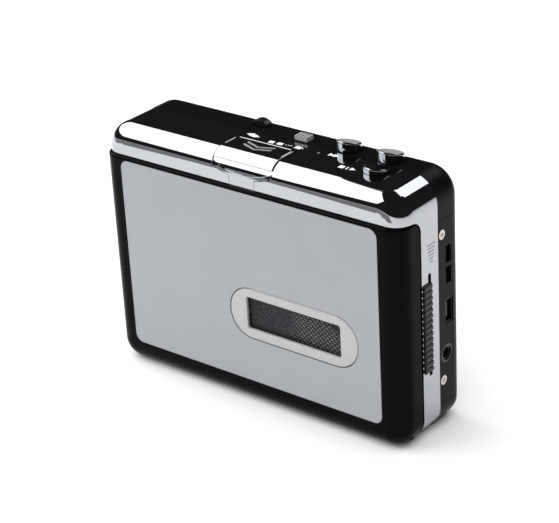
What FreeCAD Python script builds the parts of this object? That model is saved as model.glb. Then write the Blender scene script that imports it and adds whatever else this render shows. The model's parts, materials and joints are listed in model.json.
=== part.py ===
"""Portable cassette player, standing on its long lower edge.

Frame: X along the length, Y from the door (front) to the battery side (back), Z up, millimetres.
The origin is the middle of the footprint. Every function below makes one piece, or one group of
identical pieces, and the table at the end writes each to its own STEP file.
"""
import FreeCAD
import Part
import math
import os

V = FreeCAD.Vector

# ---- overall size of the case
LENGTH = 113.0
DEPTH = 31.0
HEIGHT = 82.0
HALF = LENGTH / 2
FRONT = -DEPTH / 2
BACK = DEPTH / 2
TOP_CORNER = 8.5
BOTTOM_CORNER = 7.0
FRONT_EDGE = 5.8
REAR_EDGE = 4.3
WALL = 1.6
ROOF = HEIGHT - WALL

# ---- where the case splits: door | chrome frame | rear shell
DOOR_BACK = FRONT + 10.3
SHELL_FRONT = DOOR_BACK + 8.7
CAP_FRONT = FRONT + 1.2
CAP_EDGE = 6.0
DOOR_TOP = 72.3
DOOR_GAP = 0.25
DOOR_SIDE_CORNER = 4.0
HINGE_R = 4.5
LUG_X = (48.9, 51.1)
HINGE_Y = DOOR_BACK - HINGE_R
HINGE_Z = HINGE_R
DOOR_WALL = 1.9

# ---- front plate and window
PLATE_HALF = 48.6
PLATE_LOW = 7.9
PLATE_HIGH = 71.3
PLATE_CORNER = 2.8
PLATE_THICK = 0.7
SEAM = 0.12
WINDOW_X = 16.65
WINDOW_Z = 31.4
WINDOW_W = 35.3
WINDOW_H = 10.7
OVAL_W = 48.3
OVAL_H = 17.2
BEZEL_THICK = 1.2
PANE_LAP = 0.5
PANE_THICK = 0.9
SCREEN_THICK = 0.2

# ---- pull tab on the door
TAB_X = -1.0
TAB_W = 22.2
TAB_BACK = -1.7
TAB_RISE = 0.3
TAB_SINK = 0.8
TAB_SKIN = 0.5
TAB_CORNER = 1.3
TAB_EDGE = 0.22
POCKET_DEPTH = 0.95
POCKET_GAP = 0.3
LIP_LOW = 75.35
LIP_SIDE = 77.6
LIP_TALL = 1.0
HOOD_Z = 79.9
NECK_W = 9.4
NECK_HIGH = 76.3
NECK_THICK = 1.4
NECK_GAP = 0.12

# ---- compact cassette that the bay is laid out for (100.4 x 63.8 mm, 12 mm at the tape edge)
TAPE_HALF = 50.2
TAPE_LOW = 3.0
TAPE_EDGE = TAPE_LOW + 63.8
TAPE_MID = -7.0
HUB_X = 21.25
HUB_Z = TAPE_EDGE - 34.5
CAPSTAN_X = 31.5
CAPSTAN_Z = TAPE_EDGE - 5.0

# ---- planes of the mechanism, from the front backwards
HEAD_PLATE_Y = -0.7
CHASSIS_Y = 0.2
CHASSIS_BACK = 1.0
REEL_Y = 1.4
REEL_BACK = 3.2
FLYWHEEL_Y = 3.8
FLYWHEEL_BACK = 6.0
BRIDGE_Y = 6.6
BRIDGE_BACK = 7.4
BOARD_Y = 10.9
BOARD_BACK = 11.9
CHASSIS_LOW = 20.6
CHASSIS_HIGH = 77.0
SWITCH_BOARD_Z = 71.2
SWITCH_BOARD_TOP = 72.0

REEL_R = 8.0
FLYWHEEL_R = 8.6
GROOVE_R = 7.8
DRIVE_HUB_R = 4.0
CAPSTAN_R = 0.9
PINCH_R = 2.75
MOTOR_Z = 34.0
MOTOR_R = 9.0
PULLEY_R = 2.0
BELT_GAP = 0.15
BELT_THICK = 0.8
PLAY_TRAVEL = 4.0
PINCH_Z = CAPSTAN_Z + CAPSTAN_R + PINCH_R + PLAY_TRAVEL

# ---- top controls
STOP = (22.6, 8.0, 3.8)
FORWARD = (37.4, 8.1, 4.05)
PLAY = (38.8, -1.0, 3.9)
STOP_STEM = (25.5, 5.0)
FORWARD_STEM = (41.0, 5.8)
PLAY_STEM = (40.2, -4.2)
TALL_TOP = 85.6
PLAY_TOP = 84.1
TALL_SLOPE = 15.0
PLAY_SLOPE = 12.0
KEY_RIM = 0.45
BUTTON_GAP = 0.2
FLANGE_LOW = 78.6
FLANGE_TOP = 79.8
FLANGE_OUT = 0.45
SEAT_R = 2.6
STEM_R = 1.3
TALL_STEM_LOW = 74.9
EAR_LOW = 73.6
EAR_TOP = 74.4
MODE_X = -11.7
MODE_Y = 9.5
KNOB_X = 6.85
KNOB_Y = 6.6

# ---- right-hand side
JACK_Y = 7.65
JACK_Z = 23.9
JACK_BORE_R = 1.8
USB_Y = (7.1, 10.9)
USB_Z = (33.9, 41.7)
STRAP_Y = (7.4, 10.1)
STRAP_Z = ((46.9, 52.3), (53.7, 59.2))
SIDE_SCREWS_RIGHT = ((5.7, 63.5), (5.7, 15.6))
SIDE_SCREWS_LEFT = ((5.7, 63.5), (5.7, 30.0))
SCREW_HEAD_R = 1.5
SCREW_SHANK_R = 0.88
SCREW_SEAT = 0.55
TONGUE_X = 52.7
SLIT_Y = (-1.8, -0.3)
SLIT_Z = (20.5, 53.9)
BAR_Y = (-4.2, -0.4)
BAR_Z = (22.0, 51.0)
BAR_OUT = 0.65
RIB_COUNT = 15

# ---- batteries: two AA cells end to end
CELL_R = 7.25
CELL_LENGTH = 50.5
CELL_Y = 6.3
CELL_Z = 11.9
CELLS_LEFT = -49.8
COVER_HALF = 52.0
COVER_LOW = 4.8
COVER_HIGH = 19.2
COVER_GAP = 0.2
TRAY_TOP = 20.3
TRAY_LEFT = -54.5
TRAY_RIGHT = 52.3
TRAY_FRONT = -1.9
TRAY_WALL = 0.8
COVER_PIN_R = 0.5
COVER_AXIS = (BACK - 0.8, COVER_LOW + 0.8)
CONTACT_X = -53.8
COIL_PITCH = 1.15

CHASSIS_BOSSES = ((-50.0, 68.0), (50.0, 68.0), (-50.0, 25.0), (8.5, 23.2))
BRIDGE_POSTS = ((-37.0, 29.0), (36.0, 29.0), (0.0, 64.0))
GUIDE_PINS_X = (-12.0, 12.0)
GUIDE_PIN_Z = 69.6

# ---- electronics
BOARD_X = (13.0, 54.4)
BOARD_Z = (21.5, 64.0)
BOARD_HOLES_Z = (25.0, 60.5)
CHIP_X = (24.0, 33.0)
CHIP_Z = (42.0, 51.0)
CHIP_PITCH = 1.02
CAPACITORS = ((19.0, 44.0), (19.0, 51.0), (38.5, 47.0), (26.0, 57.5))
CAPACITOR_R = 2.2
SWITCH_TOP = 78.9
SLIDE_STEM = 0.5
SLIDE_LIFT = 0.15

# ---- small parts
HINGE_PIN_R = 0.8
LUG_R = 2.0
POST_R = 1.6
KEY_COIL_R = 2.3
RETURN_COIL_R = 2.2
COIL_WIRE_R = 0.22
DOOR_GUIDE_X = 54.7
DOOR_GUIDE_Z = (14.0, 64.0)
LEAF_X = (-33.0, 33.0)
LEAF_Z = (48.0, 62.0)
HEAD_HALF = 5.5
HEAD_BACK = -3.82
MOTOR_BACK = 13.3

parts = {}


# ---------------------------------------------------------------- helpers
def box(x0, x1, y0, y1, z0, z1):
    return Part.makeBox(x1 - x0, y1 - y0, z1 - z0, V(x0, y0, z0))


def rod_x(r, x0, x1, y, z):
    return Part.makeCylinder(r, x1 - x0, V(x0, y, z), V(1, 0, 0))


def rod_y(r, x, y0, y1, z):
    return Part.makeCylinder(r, y1 - y0, V(x, y0, z), V(0, 1, 0))


def rod_z(r, x, y, z0, z1):
    return Part.makeCylinder(r, z1 - z0, V(x, y, z0), V(0, 0, 1))


def fuse(shapes):
    return shapes[0].fuse(shapes[1:]).removeSplitter()


def group(shapes):
    return Part.makeCompound(shapes)


def arc(p, q, r):
    return Part.Arc(V(*p), V(*q), V(*r)).toShape()


def line(p, q):
    return Part.LineSegment(V(*p), V(*q)).toShape()


def rounded_rect(x0, x1, z0, z1, low_r, high_r, y):
    """Face in the plane Y = y with its own corner radius at the bottom and at the top."""
    k = math.sqrt(0.5)
    lk = low_r * (1 - k)
    hk = high_r * (1 - k)
    edges = [
        line((x0 + low_r, y, z0), (x1 - low_r, y, z0)),
        arc((x1 - low_r, y, z0), (x1 - lk, y, z0 + lk), (x1, y, z0 + low_r)),
        line((x1, y, z0 + low_r), (x1, y, z1 - high_r)),
        arc((x1, y, z1 - high_r), (x1 - hk, y, z1 - hk), (x1 - high_r, y, z1)),
        line((x1 - high_r, y, z1), (x0 + high_r, y, z1)),
        arc((x0 + high_r, y, z1), (x0 + hk, y, z1 - hk), (x0, y, z1 - high_r)),
        line((x0, y, z1 - high_r), (x0, y, z0 + low_r)),
        arc((x0, y, z0 + low_r), (x0 + lk, y, z0 + lk), (x0 + low_r, y, z0)),
    ]
    return Part.Face(Part.Wire(edges))


def slab(x0, x1, z0, z1, r, y0, y1):
    """Rounded rectangle in XZ, extruded from y0 to y1."""
    return rounded_rect(x0, x1, z0, z1, r, r, y0).extrude(V(0, y1 - y0, 0))


def edges_at(shape, y):
    found = []
    for edge in shape.Edges:
        box_ = edge.BoundBox
        if abs(box_.YMin - y) < 1e-4 and abs(box_.YMax - y) < 1e-4:
            found.append(edge)
    return found


def envelope(y0, y1, inset, front_r, rear_r):
    """The case outline, moved inwards by inset, extruded and rounded at the front or the back."""
    face = rounded_rect(-HALF + inset, HALF - inset, inset, HEIGHT - inset,
                        BOTTOM_CORNER - inset, TOP_CORNER - inset, y0)
    solid = face.extrude(V(0, y1 - y0, 0))
    if front_r > 0:
        solid = solid.makeFillet(front_r, edges_at(solid, y0))
    if rear_r > 0:
        solid = solid.makeFillet(rear_r, edges_at(solid, y1))
    return solid


def prism_x(edges, x0, x1):
    """Closed list of edges in the plane X = x0, extruded to x1."""
    return Part.Face(Part.Wire(edges)).extrude(V(x1 - x0, 0, 0))


def door_zone(gap):
    """Side profile of the door, swollen by gap: flat back, rounded top corner, hinge barrel."""
    x0 = -HALF - 5
    back = DOOR_BACK + gap
    top = DOOR_TOP + gap
    far = FRONT - 5
    r = DOOR_SIDE_CORNER + gap
    h = HINGE_R + gap
    k = math.sqrt(0.5)
    edges = [
        line((x0, far, top), (x0, back - r, top)),
        arc((x0, back - r, top), (x0, back - r * (1 - k), top - r * (1 - k)), (x0, back, top - r)),
        line((x0, back, top - r), (x0, back, HINGE_Z)),
        arc((x0, back, HINGE_Z), (x0, HINGE_Y + h * k, HINGE_Z - h * k), (x0, HINGE_Y, HINGE_Z - h)),
        line((x0, HINGE_Y, HINGE_Z - h), (x0, far, HINGE_Z - h)),
        line((x0, far, HINGE_Z - h), (x0, far, top)),
    ]
    return prism_x(edges, x0, -x0)


def coil_spring(x, y, z0, z1, r, wire, turns):
    """Open helical spring about a vertical line, swept half a turn at a time."""
    pitch = (z1 - z0 - 2 * wire) / turns
    edges = []
    for k in range(2 * turns):
        half_turn = Part.makeHelix(pitch, pitch / 2, r)
        half_turn.rotate(V(0, 0, 0), V(0, 0, 1), 180.0 * k)
        half_turn.translate(V(0, 0, pitch / 2 * k))
        edges.extend(half_turn.Edges)
    profile = Part.Wire(Part.makeCircle(wire, V(r, 0, 0), V(0, 1, 0)))
    solid = Part.Wire(edges).makePipeShell([profile], True, True)
    solid.translate(V(x, y, z0 + wire))
    return solid


# ---------------------------------------------------------------- case
def button_hole(button):
    x, y, r = button
    return rod_z(r + BUTTON_GAP, x, y, HEIGHT - 6, HEIGHT + 1)


def rear_shell():
    shell = envelope(SHELL_FRONT, BACK, 0, 0, REAR_EDGE)
    shell = shell.cut(envelope(SHELL_FRONT - 1, BACK - WALL, WALL, 0, REAR_EDGE - WALL + 0.2))
    for x, z in CHASSIS_BOSSES:
        boss = rod_y(2.5, x, CHASSIS_BACK, BACK - WALL + 0.1, z)
        shell = shell.fuse(boss)
        shell = shell.cut(rod_y(1.05, x, CHASSIS_BACK - 1, 8.2, z))
    cuts = [button_hole(STOP), button_hole(FORWARD)]
    cuts.append(box(-COVER_HALF - COVER_GAP, COVER_HALF + COVER_GAP, BACK - 3, BACK + 1,
                    COVER_LOW - COVER_GAP, COVER_HIGH + COVER_GAP))
    cuts.append(rod_x(COVER_PIN_R + 0.1, -COVER_HALF - 1.4, COVER_HALF + 1.4, *COVER_AXIS))
    cuts.append(box(MODE_X - 1.5, MODE_X + 3.7, MODE_Y - 0.7, MODE_Y + 0.7, HEIGHT - 4, HEIGHT + 1))
    cuts.append(box(KNOB_X - 3.6, KNOB_X + 1.4, KNOB_Y - 0.7, KNOB_Y + 0.7, HEIGHT - 4, HEIGHT + 1))
    cuts.append(box(HALF - 3, HALF + 1, USB_Y[0] - 0.15, USB_Y[1] + 0.05, USB_Z[0] - 0.15, USB_Z[1] + 0.15))
    cuts.append(rod_x(3.05, HALF - 3, HALF + 1, JACK_Y, JACK_Z))
    for low, high in STRAP_Z:
        cuts.append(box(HALF - 3, HALF + 1, STRAP_Y[0], STRAP_Y[1], low, high))
    for y, z in SIDE_SCREWS_RIGHT:
        cuts.append(rod_x(1.0, HALF - 3, HALF + 1, y, z))
        cuts.append(rod_x(SCREW_HEAD_R + 0.2, HALF - SCREW_SEAT, HALF + 1, y, z))
    for y, z in SIDE_SCREWS_LEFT:
        cuts.append(rod_x(1.0, -HALF - 1, -HALF + 3, y, z))
        cuts.append(rod_x(SCREW_HEAD_R + 0.2, -HALF - 1, -HALF + SCREW_SEAT, y, z))
    cuts.append(box(HALF - 0.2, HALF + 1, SHELL_FRONT - 1, BACK - REAR_EDGE, 67.9, 68.1))
    return shell.cut(cuts)


def frame_tongue(side, y, z, inner):
    """Lug inside the rear shell's wall that a side screw bites into, fused to the frame's wall."""
    lug = box(inner, HALF - WALL - 0.1, SHELL_FRONT - 3.5, y + 2.4, z - 2.2, z + 2.2)
    root = box(inner, HALF - WALL + 0.3, SHELL_FRONT - 3.5, SHELL_FRONT - 0.1, z - 2.2, z + 2.2)
    lug = lug.fuse(root).cut(rod_x(SCREW_SHANK_R + 0.04, inner - 1, HALF, y, z))
    if side < 0:
        lug = lug.mirror(V(0, 0, 0), V(1, 0, 0))
    return lug


def hinge_lug(side):
    """Ear of the frame that carries the door's hinge pin, reaching forward over the hinge barrel."""
    x0, x1 = LUG_X
    ear = rod_x(LUG_R, x0, x1, HINGE_Y, HINGE_Z)
    arm = box(x0, x1, HINGE_Y, DOOR_BACK + 0.6, HINGE_Z - 0.7, HINGE_Z + LUG_R)
    foot = box(x0, x1, DOOR_BACK + 0.4, DOOR_BACK + 3.0, 1.2, HINGE_Z + LUG_R)
    lug = ear.fuse([arm, foot]).cut(rod_x(HINGE_PIN_R + 0.02, x0 - 1, x1 + 1, HINGE_Y, HINGE_Z))
    if side < 0:
        lug = lug.mirror(V(0, 0, 0), V(1, 0, 0))
    return lug


def smile_cylinder(extra, y0, y1):
    """Solid whose underside is the smile-shaped lower edge of the pull tab, grown by extra."""
    rise = LIP_SIDE - LIP_LOW
    smile_r = ((TAB_W / 2) ** 2 + rise ** 2) / (2 * rise)
    return rod_y(smile_r + extra, TAB_X, y0, y1, LIP_LOW + smile_r)


def tab_recess():
    """Pocket for the pull tab over the frame's front edge, and the notch that its neck leaves through."""
    half = TAB_W / 2 + POCKET_GAP
    pocket = box(TAB_X - half, TAB_X + half, CAP_FRONT - 1, TAB_BACK + POCKET_GAP, DOOR_TOP, HEIGHT + 1)
    pocket = pocket.common(smile_cylinder(POCKET_GAP, CAP_FRONT - 2, TAB_BACK + 1))
    floor = envelope(CAP_FRONT + POCKET_DEPTH, SHELL_FRONT, POCKET_DEPTH, CAP_EDGE - POCKET_DEPTH, 0)
    pocket = pocket.cut(floor)
    notch = box(TAB_X - NECK_W / 2 - NECK_GAP, TAB_X + NECK_W / 2 + NECK_GAP, CAP_FRONT - 1,
                CAP_FRONT + WALL + 1, DOOR_TOP - 1, NECK_HIGH + NECK_GAP)
    return [pocket, notch]


def chrome_frame():
    outer = envelope(CAP_FRONT, SHELL_FRONT, 0, CAP_EDGE, 0)
    inner = envelope(CAP_FRONT + WALL, SHELL_FRONT + 1, WALL, CAP_EDGE - WALL, 0)
    frame = outer.cut(inner)
    frame = frame.cut(door_zone(DOOR_GAP))
    lugs = []
    for side in (1, -1):
        lugs.append(hinge_lug(side))
    for y, z in SIDE_SCREWS_RIGHT:
        lugs.append(frame_tongue(1, y, z, TONGUE_X))
    for y, z in SIDE_SCREWS_LEFT:
        lugs.append(frame_tongue(-1, y, z, TONGUE_X))
    frame = frame.fuse(lugs)
    cuts = [button_hole(STOP), button_hole(FORWARD), button_hole(PLAY)]
    cuts += tab_recess()
    sweep = rod_x(HINGE_R + 0.9, -HALF, HALF, HINGE_Y, HINGE_Z)
    cuts.append(sweep.common(box(-HALF, HALF, FRONT, SHELL_FRONT, -1, 2.0)))
    cuts.append(box(HALF - 3, HALF + 1, SLIT_Y[0], SLIT_Y[1], SLIT_Z[0], SLIT_Z[1]))
    return frame.cut(cuts)


def case_screws():
    screws = []
    for side, places in ((1, SIDE_SCREWS_RIGHT), (-1, SIDE_SCREWS_LEFT)):
        for y, z in places:
            head = rod_x(SCREW_HEAD_R, HALF - SCREW_SEAT, HALF - 0.05, y, z)
            shank = rod_x(SCREW_SHANK_R, HALF - 3.7, HALF - 0.5, y, z)
            slot = box(HALF - 0.3, HALF, y - 0.2, y + 0.2, z - 0.9, z + 0.9)
            cross = box(HALF - 0.3, HALF, y - 0.9, y + 0.9, z - 0.2, z + 0.2)
            screw = head.fuse(shank).cut([slot, cross])
            if side < 0:
                screw = screw.mirror(V(0, 0, 0), V(1, 0, 0))
            screws.append(screw)
    return group(screws)


def battery_tray():
    y0 = TRAY_FRONT
    right = TRAY_RIGHT
    left = TRAY_LEFT
    rear = BACK - WALL
    tray = [
        box(left, right, y0, rear - 0.3, TRAY_TOP - TRAY_WALL, TRAY_TOP),
        box(-53.0, right, y0, y0 + TRAY_WALL, 3.7, TRAY_TOP - TRAY_WALL / 2),
        box(-53.0, right, y0, rear - 0.7, 3.6, 4.4),
        box(right - 0.7, right, y0, rear - 0.7, 3.6, TRAY_TOP - TRAY_WALL / 2),
        box(left, left + 0.7, y0, rear - 0.3, 6.2, TRAY_TOP - TRAY_WALL / 2),
        box(left, -52.8, y0, y0 + TRAY_WALL, 6.2, TRAY_TOP - TRAY_WALL / 2),
    ]
    tray = fuse(tray)
    notch = box(right - 1, right + 1, 3.0, 8.6, 13.2, 18.0)
    room = envelope(-5, rear - 0.15, WALL + 0.15, 0, REAR_EDGE - WALL + 0.2)
    return tray.cut(notch).common(room)


def battery_cell(index):
    """Plain AA cell lying along X: can, plus the raised positive cap at its right-hand end."""
    x0 = CELLS_LEFT + index * CELL_LENGTH
    can = rod_x(CELL_R, x0, x0 + CELL_LENGTH - 1.4, CELL_Y, CELL_Z)
    can = can.makeFillet(0.5, [e for e in can.Edges if e.Closed])
    nub = rod_x(2.7, x0 + CELL_LENGTH - 2, x0 + CELL_LENGTH, CELL_Y, CELL_Z)
    return can.fuse(nub).removeSplitter()


def contact_spring():
    """Conical negative contact: three rings of wire on a square plate against the tray's left end."""
    x0 = CONTACT_X
    plate = box(x0 + 0.03, x0 + 0.35, CELL_Y - 4.5, CELL_Y + 4.5, CELL_Z - 4.5, CELL_Z + 4.5)
    rings = [plate]
    for step in range(3):
        x = x0 + 0.75 + step * COIL_PITCH
        rings.append(Part.makeTorus(3.6 - 0.6 * step, 0.35, V(x, CELL_Y, CELL_Z), V(1, 0, 0)))
    for step in range(2):
        x = x0 + 0.75 + step * COIL_PITCH
        y = CELL_Y + 3.3 - 0.6 * step
        rings.append(rod_x(0.3, x, x + COIL_PITCH, y, CELL_Z))
    rings.append(rod_x(0.3, x0 + 0.2, x0 + 0.8, CELL_Y + 3.6, CELL_Z))
    return fuse(rings)


def contact_plate():
    x0 = CELLS_LEFT + 2 * CELL_LENGTH
    return box(x0 + 0.02, x0 + 0.35, CELL_Y - 4.0, CELL_Y + 4.0, CELL_Z - 5.0, CELL_Z + 0.9)


def battery_cover():
    plate = box(-COVER_HALF, COVER_HALF, BACK - WALL, BACK, COVER_LOW, COVER_HIGH)
    low_edges = []
    for edge in plate.Edges:
        b = edge.BoundBox
        if b.XLength > COVER_HALF and b.ZMax < COVER_LOW + 0.1:
            low_edges.append(edge)
    plate = plate.makeFillet(0.78, low_edges)
    pins = rod_x(COVER_PIN_R, -COVER_HALF - 1.2, COVER_HALF + 1.2, *COVER_AXIS)
    grips = []
    for step in range(5):
        z = COVER_HIGH - 4.6 + 0.8 * step
        grips.append(box(-9, 9, BACK - 0.35, BACK + 1, z, z + 0.4))
    return plate.fuse(pins).cut(grips)


# ---------------------------------------------------------------- door
def plate_outline(extra, y0, y1):
    return slab(-PLATE_HALF - extra, PLATE_HALF + extra, PLATE_LOW - extra, PLATE_HIGH + extra,
                PLATE_CORNER + extra, y0, y1)


def oval(extra, y0, y1):
    half_w = OVAL_W / 2 + extra
    half_h = OVAL_H / 2 + extra
    return slab(WINDOW_X - half_w, WINDOW_X + half_w, WINDOW_Z - half_h, WINDOW_Z + half_h,
                half_h - 0.3, y0, y1)


def window(extra, y0, y1):
    half_w = WINDOW_W / 2 + extra
    half_h = WINDOW_H / 2 + extra
    return slab(WINDOW_X - half_w, WINDOW_X + half_w, WINDOW_Z - half_h, WINDOW_Z + half_h,
                0.8 + extra, y0, y1)


def door_boss(side):
    boss = rod_x(2.2, 53.2, 55.2, HINGE_Y, HINGE_Z)
    if side < 0:
        boss = boss.mirror(V(0, 0, 0), V(1, 0, 0))
    return boss


def lug_notch(side):
    """Opening in the door's barrel that the frame's ear reaches through."""
    notch = box(LUG_X[0] - 0.4, LUG_X[1] + 0.4, HINGE_Y, DOOR_BACK + 1, -1, HINGE_Z)
    if side < 0:
        notch = notch.mirror(V(0, 0, 0), V(1, 0, 0))
    return notch


def cassette_door():
    block = envelope(FRONT, DOOR_BACK + 2, 0, FRONT_EDGE, 0).common(door_zone(0))
    hollow = envelope(FRONT + DOOR_WALL, DOOR_BACK + 3, WALL, FRONT_EDGE - WALL, 0)
    top = box(-HALF, HALF, FRONT, DOOR_BACK + 3, DOOR_TOP - 1.5, HEIGHT)
    keep_back = box(-HALF, HALF, HINGE_Y - 1.6, DOOR_BACK + 3, DOOR_TOP - 20, HEIGHT)
    hollow = hollow.cut(top.cut(keep_back))
    barrel = prism_x([
        arc((-HALF, HINGE_Y + HINGE_R - WALL, HINGE_Z),
            (-HALF, HINGE_Y + (HINGE_R - WALL) * math.sqrt(0.5), HINGE_Z - (HINGE_R - WALL) * math.sqrt(0.5)),
            (-HALF, HINGE_Y, HINGE_Z - HINGE_R + WALL)),
        line((-HALF, HINGE_Y, HINGE_Z - HINGE_R + WALL), (-HALF, HINGE_Y, -1)),
        line((-HALF, HINGE_Y, -1), (-HALF, DOOR_BACK + 3, -1)),
        line((-HALF, DOOR_BACK + 3, -1), (-HALF, DOOR_BACK + 3, HINGE_Z)),
        line((-HALF, DOOR_BACK + 3, HINGE_Z), (-HALF, HINGE_Y + HINGE_R - WALL, HINGE_Z)),
    ], -HALF, HALF)
    hollow = hollow.cut(barrel)
    door = block.cut(hollow)
    door = door.fuse([door_boss(1), door_boss(-1)])
    top_edge = []
    for edge in door.Edges:
        b = edge.BoundBox
        straight = b.XLength > LENGTH * 0.7 and b.ZLength < 1e-4 and b.YLength < 1e-4
        if straight and abs(b.ZMax - DOOR_TOP) < 1e-3 and b.YMax < FRONT + 0.1:
            top_edge.append(edge)
    door = door.makeFillet(0.8, top_edge)
    cuts = [
        plate_outline(SEAM, FRONT - 1, FRONT + PLATE_THICK),
        oval(SEAM, FRONT - 1, FRONT + BEZEL_THICK),
        window(PANE_LAP + SEAM, FRONT - 1, FRONT + DOOR_WALL + 1),
        lug_notch(1),
        lug_notch(-1),
        rod_x(HINGE_PIN_R + 0.05, 52, 55.35, HINGE_Y, HINGE_Z),
        rod_x(HINGE_PIN_R + 0.05, -55.35, -52, HINGE_Y, HINGE_Z),
    ]
    return door.cut(cuts)


def front_plate():
    return plate_outline(0, FRONT, FRONT + PLATE_THICK - 0.02).cut(oval(SEAM, FRONT - 1, FRONT + 3))


def window_bezel():
    ring = oval(0, FRONT, FRONT + BEZEL_THICK - 0.02)
    ring = ring.makeChamfer(0.35, edges_at(ring, FRONT))
    return ring.cut(window(0, FRONT - 1, FRONT + 3))


def window_pane():
    return window(PANE_LAP, FRONT + BEZEL_THICK, FRONT + BEZEL_THICK + PANE_THICK)


def window_screen():
    y0 = FRONT + BEZEL_THICK + PANE_THICK + 0.02
    return window(PANE_LAP, y0, y0 + SCREEN_THICK)


def tab_profile(skin, front):
    """Side profile of the tab from its outer face down to skin above the pocket's floor."""
    x0 = TAB_X - TAB_W / 2
    cap_y = CAP_FRONT + CAP_EDGE
    cap_z = HEIGHT - CAP_EDGE
    outer_r = CAP_EDGE + front
    inner_r = CAP_EDGE - skin
    k = math.sqrt(0.5)
    low = LIP_LOW - 1
    return [
        line((x0, TAB_BACK, cap_z + inner_r), (x0, TAB_BACK, cap_z + outer_r)),
        line((x0, TAB_BACK, cap_z + outer_r), (x0, cap_y, cap_z + outer_r)),
        arc((x0, cap_y, cap_z + outer_r), (x0, cap_y - outer_r * k, cap_z + outer_r * k),
            (x0, cap_y - outer_r, cap_z)),
        line((x0, cap_y - outer_r, cap_z), (x0, cap_y - outer_r, low)),
        line((x0, cap_y - outer_r, low), (x0, cap_y - inner_r, low)),
        line((x0, cap_y - inner_r, low), (x0, cap_y - inner_r, cap_z)),
        arc((x0, cap_y - inner_r, cap_z), (x0, cap_y - inner_r * k, cap_z + inner_r * k),
            (x0, cap_y, cap_z + inner_r)),
        line((x0, cap_y, cap_z + inner_r), (x0, TAB_BACK, cap_z + inner_r)),
    ]


def outer_rim(tab):
    """Edges round the tab's outer face: along its back, down both sides and over the roll."""
    cap_y = CAP_FRONT + CAP_EDGE
    cap_z = HEIGHT - CAP_EDGE
    outer_r = CAP_EDGE + TAB_RISE
    rim = []
    for edge in tab.Edges:
        mid = edge.valueAt((edge.FirstParameter + edge.LastParameter) / 2)
        across = edge.BoundBox.XLength > TAB_W - 3 * TAB_CORNER
        on_top = abs(mid.z - cap_z - outer_r) < 1e-4 and mid.y > cap_y + 1e-3
        on_roll = abs(math.hypot(mid.y - cap_y, mid.z - cap_z) - outer_r) < 1e-4 and mid.z > cap_z
        on_front = abs(mid.y - cap_y + outer_r) < 1e-4 and mid.z < cap_z
        if on_top or ((on_roll or on_front) and not across and mid.y < cap_y):
            rim.append(edge)
    return rim


def pull_tab():
    """Chrome grip: flat on top, rolled over the front edge, with a hood and a smile-shaped lip."""
    x0 = TAB_X - TAB_W / 2
    tab = prism_x(tab_profile(TAB_SINK, TAB_RISE), x0, x0 + TAB_W)
    back_edges = []
    for edge in tab.Edges:
        b = edge.BoundBox
        if abs(b.YMin - TAB_BACK) < 1e-4 and abs(b.YMax - TAB_BACK) < 1e-4 and b.ZLength > 0.5:
            back_edges.append(edge)
    tab = tab.makeFillet(TAB_CORNER, back_edges)
    tab = tab.makeFillet(TAB_EDGE, outer_rim(tab))
    tab = tab.common(smile_cylinder(0, FRONT - 5, TAB_BACK + 1))
    floor = prism_x(tab_profile(TAB_SINK, TAB_SKIN - TAB_SINK), x0 - 1, x0 + TAB_W + 1)
    scoop = smile_cylinder(-LIP_TALL, FRONT - 5, CAP_FRONT + CAP_EDGE)
    scoop = scoop.common(box(x0, x0 + TAB_W, FRONT - 5, CAP_FRONT + CAP_EDGE, LIP_LOW, HOOD_Z))
    tab = tab.cut(scoop.cut(floor))
    neck = box(TAB_X - NECK_W / 2, TAB_X + NECK_W / 2, CAP_FRONT, CAP_FRONT + NECK_THICK, DOOR_TOP, NECK_HIGH)
    return tab.fuse(neck).removeSplitter()


def cassette_guide(side):
    """L-shaped rail inside the door that locates one end of the cassette."""
    low, high = DOOR_GUIDE_Z
    rail = box(46.0, DOOR_GUIDE_X, FRONT + DOOR_WALL + 0.02, -11.7, low, high)
    wall = box(TAPE_HALF + 0.5, DOOR_GUIDE_X, FRONT + DOOR_WALL + 0.02, DOOR_BACK - 0.6, low, high)
    guide = rail.fuse(wall)
    guide = guide.common(envelope(FRONT + DOOR_WALL, DOOR_BACK, WALL + 0.05, FRONT_EDGE - WALL + 0.3, 0))
    if side < 0:
        guide = guide.mirror(V(0, 0, 0), V(1, 0, 0))
    return guide


def cassette_springs():
    """Two bowed leaf springs on the door that press the cassette back onto its datum."""
    springs = []
    y0 = FRONT + DOOR_WALL + 0.02
    bow = 1.1
    thick = 0.3
    low, high = LEAF_Z
    mid = (low + high) / 2
    for x in LEAF_X:
        x0 = x - 3.0
        leaf = prism_x([
            arc((x0, y0, low), (x0, y0 + bow, mid), (x0, y0, high)),
            line((x0, y0, high), (x0, y0 + thick, high)),
            arc((x0, y0 + thick, high), (x0, y0 + bow + thick, mid), (x0, y0 + thick, low)),
            line((x0, y0 + thick, low), (x0, y0, low)),
        ], x0, x0 + 6.0)
        springs.append(leaf)
    return group(springs)


def hinge_pins():
    inner = LUG_X[0] - 0.2
    pins = [rod_x(HINGE_PIN_R, inner, 55.3, HINGE_Y, HINGE_Z),
            rod_x(HINGE_PIN_R, -55.3, -inner, HINGE_Y, HINGE_Z)]
    return group(pins)


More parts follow.
